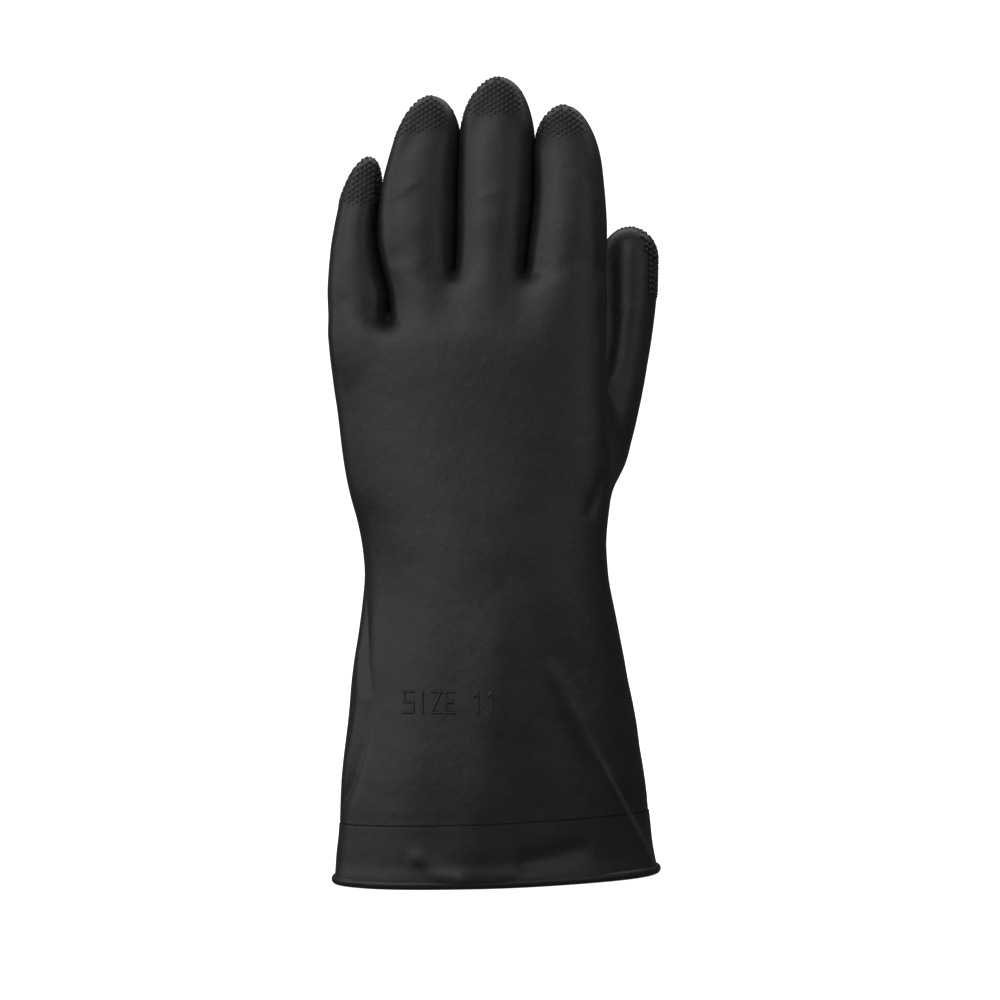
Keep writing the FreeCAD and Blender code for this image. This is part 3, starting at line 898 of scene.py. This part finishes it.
def grip_points(name):
    """Points of the grip's diamond grid on one tip, the way each faces and how far each is inside the grip's
    edge. There are flat grids for the back, the palm side, the flanks and the top, and each is laid straight
    onto the tip where the tip faces it most."""
    thumb = name == "thumb"
    rows = TUBES[name]
    tip_start, tip_length = TIPS[name]
    apex = tip_start + tip_length
    middle = curve(rows, np.array([apex - 8.0]))[:, 0]
    centre = np.array([middle[0], middle[2], apex - 17.0])
    half = GRID_HALF
    field = thumb_field if thumb else (lambda q: finger_field(name, q))

    points, ways = [], []
    for axis, sign in ((1, -1), (1, 1), (0, -1), (0, 1), (2, 1)):
        across, along = [k for k in range(3) if k != axis]
        b = np.arange(centre[along] - half[along], centre[along] + half[along], GRIP_ROW)
        a = np.arange(centre[across] - half[across], centre[across] + half[across], GRIP_PITCH)
        odd = (np.arange(len(b)) % 2)[:, None] * GRIP_PITCH / 2
        cloud = np.empty((len(b) * len(a), 3))
        cloud[:, across] = (a[None, :] + odd).ravel()
        cloud[:, along] = np.repeat(b, len(a))
        cloud[:, axis] = centre[axis] + sign * 0.5 * half[axis]
        for _ in range(12):
            slope = slope_of(field, cloud)[:, axis]
            slope = np.where(slope * sign > 0.15, slope, sign * 0.15)
            cloud[:, axis] -= np.clip(field(cloud) / slope, -4, 4)
        way = slope_of(field, cloud)
        way /= np.maximum(np.linalg.norm(way, axis=1), 1e-6)[:, None]
        most = np.argmax(np.abs(way) * SHOW_WEIGHT, axis=1) == axis
        keep = most & (way[:, axis] * sign > 0) & (np.abs(field(cloud)) < 0.1)
        points.append(cloud[keep])
        ways.append(way[keep])
    points, ways = np.concatenate(points), np.concatenate(ways)

    back, edge, palm, lean, stop = GRIP_REACH[name]
    flat = np.maximum(np.hypot(ways[:, 0], ways[:, 1]), 1e-6)
    turn = (ways[:, 1] * 0.75 + ways[:, 0] * 0.66 if thumb else ways[:, 1]) / flat
    mid, wide = curve(rows, points[:, 2])[:2]
    wide *= np.sqrt(np.maximum(1 - (np.maximum(points[:, 2] - tip_start, 0) / tip_length) ** 2, 0.02))
    share = (points[:, 0] - mid) / wide
    reach = back + (edge - back) * share**2 + lean * (points[:, 0] - mid)
    reach += (palm - reach) * smoothstep(1.0 + 2.5 * turn if thumb else 0.2 + 0.8 * turn)
    inside = reach - (apex - points[:, 2])
    inside = np.where(turn < 0.35, np.minimum(inside, (stop - share) * wide), inside)
    keep = inside > 0
    return points[keep], ways[keep], inside[keep]


def domes(points, ways, scale, height):
    """One low round dome at each point, facing along its way, as its rings of points and the faces between: a
    closed foot ring sunk into the skin, two rings that draw in as they rise, and a top point. It is a little
    longer up than across."""
    up = np.array([0.0, 0.0, 1.0]) - ways * ways[:, 2:3]
    steep = np.linalg.norm(up, axis=1) < 0.2
    up[steep] = np.array([0.0, 1.0, 0.0]) - ways[steep] * ways[steep, 1:2]
    up /= np.linalg.norm(up, axis=1)[:, None]
    side = np.cross(up, ways)
    angle = 2 * np.pi * np.arange(BUMP_SIDES) / BUMP_SIDES
    verts = []
    for share, lift in BUMP_RINGS:
        for t in angle:
            reach = BUMP_RADIUS * share * scale[:, None]
            verts.append(
                points
                + side * math.cos(t) * reach
                + up * math.sin(t) * reach * 1.05
                + ways * (height * lift * scale)[:, None]
            )
    verts.append(points + ways * (height * scale)[:, None])
    verts = np.stack(verts, 1)
    k = np.arange(BUMP_SIDES)
    k2 = (k + 1) % BUMP_SIDES
    band = np.stack([k, k2, k2 + BUMP_SIDES, k + BUMP_SIDES], 1)
    last = (len(BUMP_RINGS) - 1) * BUMP_SIDES
    top = last + BUMP_SIDES
    bands = np.concatenate([band + foot for foot in range(0, last, BUMP_SIDES)])
    cap = np.stack([k + last, k2 + last, np.full(BUMP_SIDES, top)], 1)
    step = (np.arange(len(points)) * (top + 1))[:, None, None]
    quads = (bands[None] + step).reshape(-1, 4)
    caps = (cap[None] + step).reshape(-1, 3)
    feet = k[::-1] + step[:, 0]
    return verts.reshape(-1, 3), quads.tolist() + caps.tolist() + feet.tolist()


class GLOVE_OT_grips(bpy.types.Operator):
    """Makes the raised knurling on the five tips"""

    bl_idname = "glove.grips"
    bl_label = "Fingertip grips"

    def execute(self, context):
        for name in FINGERS + ("thumb",):
            points, ways, inside = grip_points(name)
            scale = 0.5 + 0.5 * smoothstep(inside / 3.0)
            points = points + ways * relief(points, ways)[:, None]
            if name != "thumb":
                points[:, 0] -= (PRESSED - 1) * opened(name, points[:, 2])
            verts, shapes = domes(points, ways, scale, context.scene.glove_shape.bump_height / MM)
            made = make_object(name + "_grip_bumps", verts, shapes)
            made.data.materials.append(bpy.data.materials["grip"])
            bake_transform(made)
            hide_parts(name + "_grip")
        return {"FINISHED"}


# ---------------------------------------------------------------- size mark
# Letters as strokes in a box one unit wide and one unit high.
LETTERS = {
    "S": [[(1, 1), (0, 1), (0, 0.5), (1, 0.5), (1, 0), (0, 0)]],
    "I": [[(0.5, 0), (0.5, 1)]],
    "Z": [[(0, 1), (1, 1), (0, 0), (1, 0)]],
    "E": [[(1, 1), (0, 1), (0, 0), (1, 0)], [(0, 0.5), (0.8, 0.5)]],
    "1": [[(0.1, 0.78), (0.5, 1), (0.5, 0)]],
}
MARK_TEXT = "SIZE 11"
# A stroke's width, its section as shares of half the width and of the height, and about how far apart its
# sections are. The mark keeps MARK_MARGIN inside its CAD node, a letter takes LETTER_SHARE of its pitch, and
# the last letter ends where LAST_GAP of a pitch would follow.
STROKE = 1.4
STROKE_SECTION = np.array(
    [(-1.0, -0.6), (-0.85, 0.35), (-0.45, 0.9), (0.0, 1.0), (0.45, 0.9), (0.85, 0.35), (1.0, -0.6)]
)
STROKE_STEP = 0.7
MARK_MARGIN = 0.7
LETTER_SHARE = 0.66
LAST_GAP = 0.32


def sleeve_front(x, z):
    """Points of the finished sleeve's back at (x, z), which are the plain surface's plus its relief, and
    their normals."""
    y = np.full(len(x), -28.0)
    p = np.stack([x, y, z], 1)
    for _ in range(12):
        p[:, 1] += np.clip(trunk_field(p), -2, 2)
    n = slope_of(trunk_field, p)
    n /= np.linalg.norm(n, axis=1)[:, None]
    return p + n * relief(p, n)[:, None], n


def stroke(a, b, proud):
    """One raised stroke on the sleeve from a to b: STROKE_SECTION carried along the line, closed into a tube
    under the skin and over both ends, where it narrows and sinks in. Its points and faces."""
    length = np.linalg.norm(b - a)
    way = (b - a) / length
    steps = max(3, int(length / STROKE_STEP))
    middle = np.linspace(0, length, steps)
    t = np.concatenate([[-0.5, -0.35], middle, [length + 0.35, length + 0.5]])
    taper = np.ones(len(t))
    taper[[0, -1]] = 0.55
    across = np.array([way[1], -way[0]])
    side = taper[:, None] * STROKE_SECTION[:, 0] * STROKE / 2
    flat = (a + t[:, None, None] * way + side[:, :, None] * across).reshape(-1, 2)
    skin, n = sleeve_front(flat[:, 0], flat[:, 1])
    lift = np.where(taper < 1, -0.5, 1)[:, None] * STROKE_SECTION[:, 1] * proud
    count = len(STROKE_SECTION)
    u, v = np.meshgrid(np.arange(len(t) - 1), np.arange(count), indexing="ij")
    k, k2 = u * count + v, u * count + (v + 1) % count
    sides = np.stack([q.ravel() for q in (k, k2, k2 + count, k + count)], 1)
    ring = np.arange(count)
    ends = [ring[::-1].tolist(), (ring + len(flat) - count).tolist()]
    return skin + n * lift.reshape(-1, 1), sides.tolist() + ends


class GLOVE_OT_mark(bpy.types.Operator):
    """Makes the raised size mark on the back of the sleeve"""

    bl_idname = "glove.mark"
    bl_label = "Size mark"

    def execute(self, context):
        low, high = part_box("size_mark")
        left, foot = low.x / MM + MARK_MARGIN, low.z / MM + MARK_MARGIN
        width = (high.x - low.x) / MM - 2 * MARK_MARGIN
        height = (high.z - low.z) / MM - 2 * MARK_MARGIN
        pitch = width / (len(MARK_TEXT) - LAST_GAP)
        proud = context.scene.glove_shape.mark_height / MM
        verts, faces, start = [], [], 0
        for i, character in enumerate(MARK_TEXT):
            for line in LETTERS.get(character, []):
                scale = (pitch * LETTER_SHARE, height)
                corners = np.array(line, float) * scale + (left + i * pitch, foot)
                for a, b in zip(corners, corners[1:]):
                    points, shapes = stroke(a, b, proud)
                    verts.append(points)
                    faces += [[k + start for k in shape] for shape in shapes]
                    start += len(points)
        made = make_object("size_mark_strokes", np.concatenate(verts), faces)
        made.data.materials.append(bpy.data.materials["rubber"])
        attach(made, "gauntlet")
        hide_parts("size_mark")
        return {"FINISHED"}


# ---------------------------------------------------------------- materials
# The mottling's darkest and lightest colour, as shares of the rubber's. The noises' scales are per metre.
DARKEST = 0.82
LIGHTEST = 1.25
MOTTLE_SCALE = 38.0
DUST_SCALE = 950.0
GRAIN_SCALE = 1500.0
RIPPLE_SCALE = 160.0
GRAIN_HEIGHT = 0.00012
RIPPLE_HEIGHT = 0.0006


def rubber(name, base, rough, grain):
    """Black dipped rubber: dark and satin, with slow mottling of colour and sheen, fine grain, and painted
    highlights in pale grey where the painted highlight attribute says. rough is its mean roughness and grain
    the fine bump's strength."""
    material = bpy.data.materials.new(name)
    material.use_nodes = True
    nodes, links = material.node_tree.nodes, material.node_tree.links
    shader = nodes["Principled BSDF"]
    shader.inputs["Specular IOR Level"].default_value = 0.5
    shader.inputs["Sheen Weight"].default_value = 0.0
    place = nodes.new("ShaderNodeTexCoord")

    def noise(scale, detail, rough_detail=0.5):
        made = nodes.new("ShaderNodeTexNoise")
        made.inputs["Scale"].default_value = scale
        made.inputs["Detail"].default_value = detail
        made.inputs["Roughness"].default_value = rough_detail
        links.new(place.outputs["Object"], made.inputs["Vector"])
        return made

    def spread(source, low, high):
        made = nodes.new("ShaderNodeMapRange")
        made.inputs["From Min"].default_value = 0.3
        made.inputs["From Max"].default_value = 0.7
        made.inputs["To Min"].default_value = low
        made.inputs["To Max"].default_value = high
        links.new(source.outputs["Fac"], made.inputs["Value"])
        return made

    mottle = noise(MOTTLE_SCALE, 6.0, 0.6)
    dust = noise(DUST_SCALE, 3.0, 0.7)
    colour = nodes.new("ShaderNodeMix")
    colour.data_type = "RGBA"
    colour.inputs["A"].default_value = (*[c * DARKEST for c in base], 1)
    colour.inputs["B"].default_value = (*[c * LIGHTEST for c in base], 1)
    links.new(spread(mottle, 0.0, 1.0).outputs["Result"], colour.inputs["Factor"])
    # Painted highlights: pale grey mixed into the base colour by the attribute.
    painted_highlight = nodes.new("ShaderNodeAttribute")
    painted_highlight.attribute_name = "painted_highlight"
    highlighted = nodes.new("ShaderNodeMix")
    highlighted.data_type = "RGBA"
    highlighted.inputs["B"].default_value = PAINTED_HIGHLIGHT_COLOUR
    links.new(painted_highlight.outputs["Fac"], highlighted.inputs["Factor"])
    links.new(colour.outputs["Result"], highlighted.inputs["A"])
    links.new(highlighted.outputs["Result"], shader.inputs["Base Color"])
    slow = spread(mottle, rough - 0.05, rough + 0.05)
    fine = spread(dust, -0.04, 0.05)
    add = nodes.new("ShaderNodeMath")
    add.operation = "ADD"
    links.new(slow.outputs["Result"], add.inputs[0])
    links.new(fine.outputs["Result"], add.inputs[1])
    links.new(add.outputs["Value"], shader.inputs["Roughness"])
    bump = nodes.new("ShaderNodeBump")
    bump.inputs["Strength"].default_value = grain
    bump.inputs["Distance"].default_value = GRAIN_HEIGHT
    links.new(noise(GRAIN_SCALE, 4.0, 0.6).outputs["Fac"], bump.inputs["Height"])
    ripple = nodes.new("ShaderNodeBump")
    ripple.inputs["Strength"].default_value = 0.35
    ripple.inputs["Distance"].default_value = RIPPLE_HEIGHT
    links.new(noise(RIPPLE_SCALE, 3.0).outputs["Fac"], ripple.inputs["Height"])
    links.new(bump.outputs["Normal"], ripple.inputs["Normal"])
    links.new(ripple.outputs["Normal"], shader.inputs["Normal"])
    return material


class GLOVE_OT_materials(bpy.types.Operator):
    """Makes the rubber materials"""

    bl_idname = "glove.materials"
    bl_label = "Materials"

    def execute(self, context):
        shape = context.scene.glove_shape
        rubber("rubber", shape.rubber_colour, 0.42, 0.5)
        rubber("grip", shape.grip_colour, 0.38, 0.3)
        return {"FINISHED"}


# ---------------------------------------------------------------- studio
# The camera looks straight at the back of the hand. Lengths of the studio are metres.
EYE_DISTANCE = 1050.0
EYE_HEIGHT = 169.2
EYE_X = 1.8
LENS = 84.4
FLOOR_RADIUS = 2.4
FLOOR_CURVE = 0.8
WALL_TOP = 4.0
FLOOR_SIDES = 64
FLOOR_COLOUR = (0.93, 0.93, 0.93, 1)
FLOOR_GLOW = 0.9
WHITE = (1, 1, 1, 1)
WORLD_GLOW = 0.07
# Every soft light: place, point it is aimed at, width, height and power in watts.
HAND_AIM = (0.0, 0.0, 0.2)
LIGHTS = {
    "key_light": ((-1.1, -1.75, 0.95), HAND_AIM, 2.2, 1.8, 14.4),
    "side_light": ((-2.1, -0.35, 0.8), HAND_AIM, 1.4, 1.5, 8.0),
    "fill_light": ((1.5, -1.6, 0.9), HAND_AIM, 1.5, 1.5, 5.0),
    "top_light": ((-0.5, -1.7, 1.6), HAND_AIM, 1.6, 1.0, 6.0),
    "back_light": ((0.0, 1.0, 1.6), (0.0, 1.6, 0.8), 2.4, 2.4, 26.0),
}


class GLOVE_OT_studio(bpy.types.Operator):
    """Makes the floor with its curved backdrop, the lights and the camera"""

    bl_idname = "glove.studio"
    bl_label = "Studio"

    def execute(self, context):
        scene = context.scene
        # The floor is a round bowl: a flat disc, a quarter circle up from its edge and an upright wall, all
        # turned about the middle.
        rise = np.linspace(0.0, np.pi / 2, 16)
        curved = FLOOR_RADIUS + FLOOR_CURVE * np.sin(rise)
        radius = np.concatenate([[0.0], curved, [FLOOR_RADIUS + FLOOR_CURVE]])
        height = np.concatenate([[0.0], FLOOR_CURVE * (1 - np.cos(rise)), [WALL_TOP]])
        turn = np.linspace(0, 2 * np.pi, FLOOR_SIDES, endpoint=False)[:, None]
        upright = np.tile(height, (FLOOR_SIDES, 1))
        ring = np.stack([radius * np.cos(turn), radius * np.sin(turn), upright], 2)
        i, k = np.meshgrid(np.arange(FLOOR_SIDES), np.arange(len(radius) - 1), indexing="ij")
        here, there = i * len(radius) + k, (i + 1) % FLOOR_SIDES * len(radius) + k
        faces = np.stack([q.ravel() for q in (here, here + 1, there + 1, there)], 1)
        floor = make_object("studio_floor", ring.reshape(-1, 3) / MM, faces.tolist())
        white = bpy.data.materials.new("studio_white")
        white.use_nodes = True
        shader = white.node_tree.nodes["Principled BSDF"]
        shader.inputs["Base Color"].default_value = FLOOR_COLOUR
        shader.inputs["Roughness"].default_value = 0.9
        shader.inputs["Emission Color"].default_value = WHITE
        shader.inputs["Emission Strength"].default_value = FLOOR_GLOW
        floor.data.materials.append(white)
        floor.visible_diffuse = False
        floor.visible_glossy = False

        world = bpy.data.worlds.new("studio_world")
        world.use_nodes = True
        sky = world.node_tree.nodes["Background"]
        sky.inputs["Color"].default_value = WHITE
        sky.inputs["Strength"].default_value = WORLD_GLOW
        scene.world = world

        for name, (place, aim, width, height, power) in LIGHTS.items():
            lamp = bpy.data.lights.new(name, "AREA")
            lamp.shape = "RECTANGLE"
            lamp.size = width
            lamp.size_y = height
            lamp.energy = power
            made = bpy.data.objects.new(name, lamp)
            made.location = place
            made.rotation_euler = (Vector(place) - Vector(aim)).to_track_quat("Z", "Y").to_euler()
            scene.collection.objects.link(made)

        camera = bpy.data.cameras.new("camera")
        camera.sensor_width = 36.0
        camera.lens = LENS
        camera.clip_start = 0.05
        camera.clip_end = 20.0
        eye = bpy.data.objects.new("camera", camera)
        eye.location = (EYE_X * MM, -EYE_DISTANCE * MM, EYE_HEIGHT * MM)
        eye.rotation_euler = (math.pi / 2, 0, 0)
        scene.collection.objects.link(eye)
        scene.camera = eye
        scene.view_settings.view_transform = "Standard"
        return {"FINISHED"}


OPERATORS = (
    GLOVE_OT_materials,
    GLOVE_OT_skin,
    GLOVE_OT_rim,
    GLOVE_OT_grips,
    GLOVE_OT_mark,
    GLOVE_OT_studio,
)


class GLOVE_PT_panel(bpy.types.Panel):
    """Lists the glove's sizes, colours and operators"""

    bl_idname = "GLOVE_PT_panel"
    bl_label = "Insulating glove"
    bl_space_type = "VIEW_3D"
    bl_region_type = "UI"
    bl_category = "Glove"

    def draw(self, context):
        for name in GLOVE_PG_shape.__annotations__:
            self.layout.prop(context.scene.glove_shape, name)
        for operator in OPERATORS:
            self.layout.operator(operator.bl_idname)


CLASSES = (GLOVE_PG_shape, *OPERATORS, GLOVE_PT_panel)


def register():
    """Registers the classes and hangs the sizes and colours on the scene."""
    for cls in CLASSES:
        bpy.utils.register_class(cls)
    bpy.types.Scene.glove_shape = bpy.props.PointerProperty(type=GLOVE_PG_shape)


def unregister():
    """Takes both away again."""
    del bpy.types.Scene.glove_shape
    for cls in reversed(CLASSES):
        bpy.utils.unregister_class(cls)


def main():
    """Builds the glove and its studio."""
    register()
    bpy.ops.glove.materials()
    bpy.ops.glove.skin()
    bpy.ops.glove.rim()
    bpy.ops.glove.grips()
    bpy.ops.glove.mark()
    bpy.ops.glove.studio()


if __name__ == "__main__":
    main()
